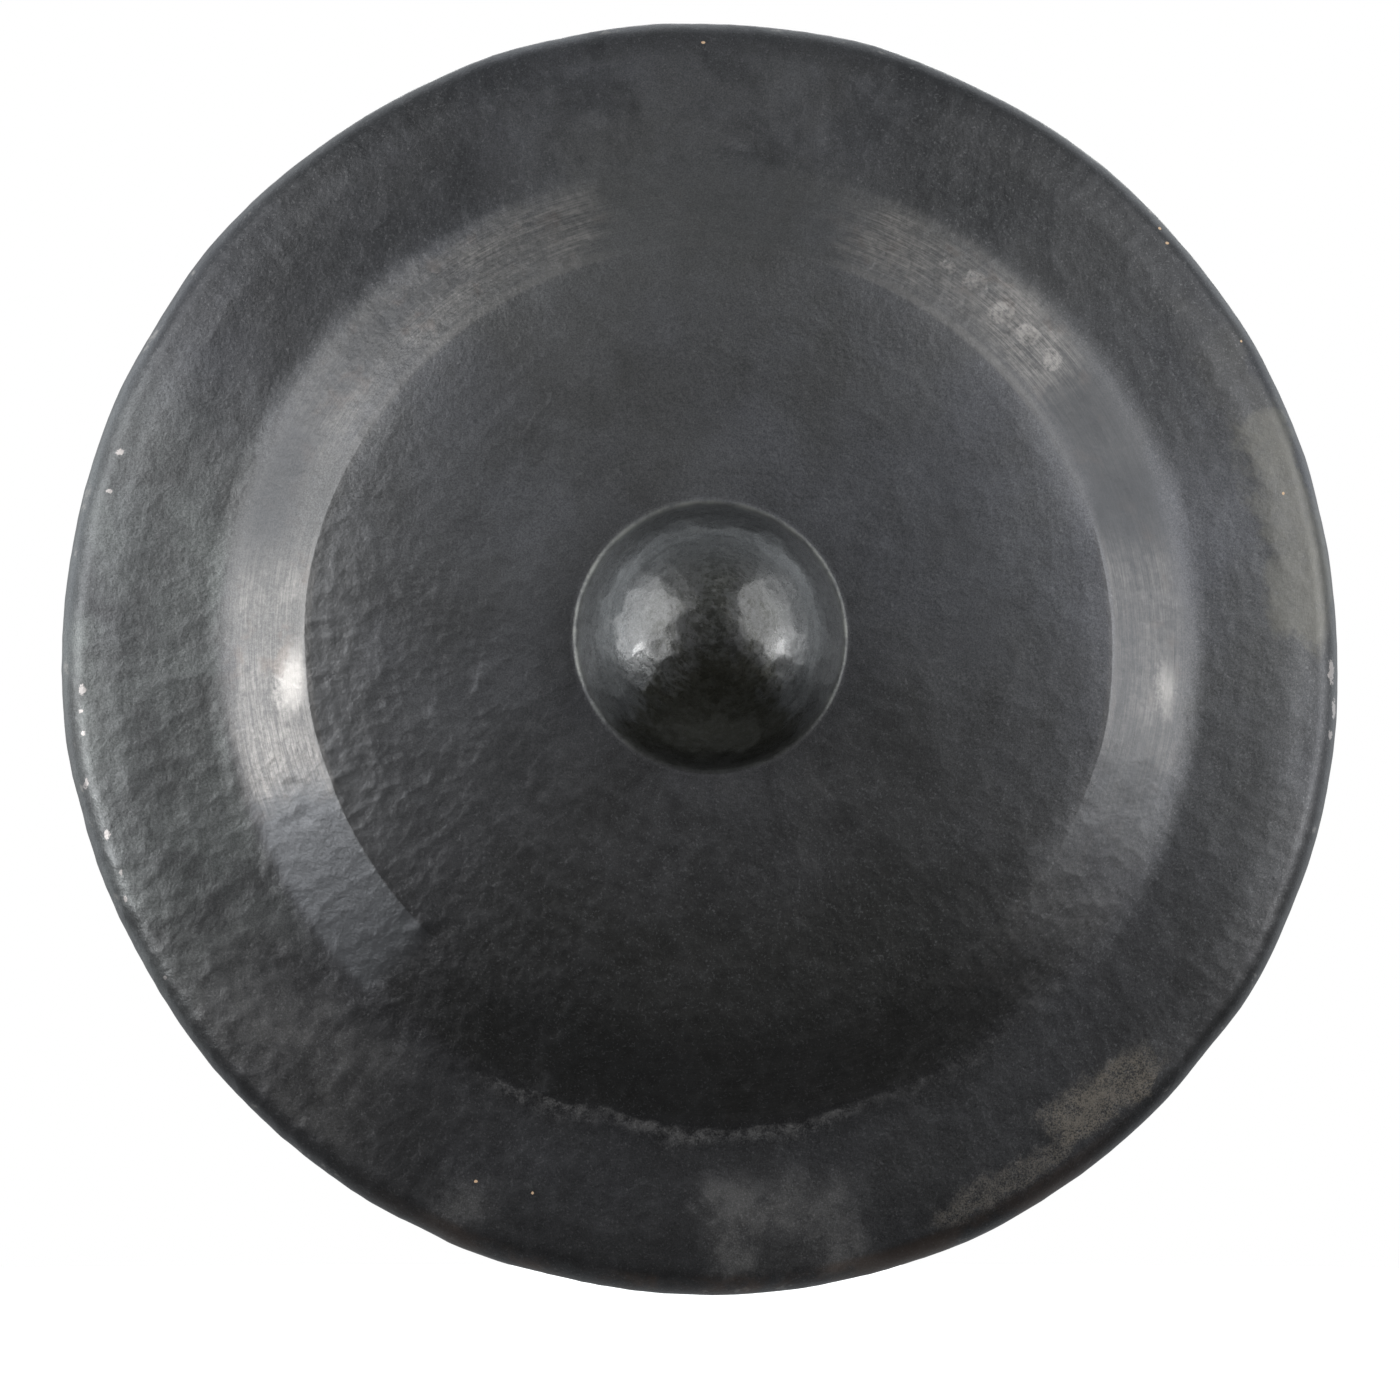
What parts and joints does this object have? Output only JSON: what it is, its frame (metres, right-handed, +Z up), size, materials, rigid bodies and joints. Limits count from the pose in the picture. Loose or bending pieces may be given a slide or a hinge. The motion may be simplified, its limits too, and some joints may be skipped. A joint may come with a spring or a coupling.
{
  "type": "bossed gong",
  "caption": "Large hanging gong of dark, hand-hammered bronze: round raised boss, flat face, stepped band, sloping border, deep turned-back rim and a cord through the rim.",
  "frame": {"origin": "centre of the rim's rear lip, on the gong's axis, in the plane of the lip", "axes": "+Z up as the gong hangs, with the cord at the top; the boss and the face look along -Y; +X is to the right seen from the front"},
  "size_m": [0.9, 0.2206, 0.9],
  "materials": {
    "bronze": "hand-hammered bell bronze under a near-black oxide, satin, with a rubbed and finely scratched band and a burnished boss",
    "rubber": "matt black rubber",
    "cord": "three-strand laid hemp cord",
    "thread": "waxed linen thread, wound tight"
  },
  "bodies": {
    "gong": {"gong_shell": "bronze", "left_grommet": "rubber", "right_grommet": "rubber"},
    "cord": {"hanging_cord": "cord", "joining_knot": "cord", "left_end_whipping": "thread", "right_end_whipping": "thread"}
  },
  "joints": [
    {"name": "cord_draw", "type": "slide", "parent": "gong", "child": "cord", "axis": [0, 0, 1], "range_m": [0, 0.18]}
  ]
}
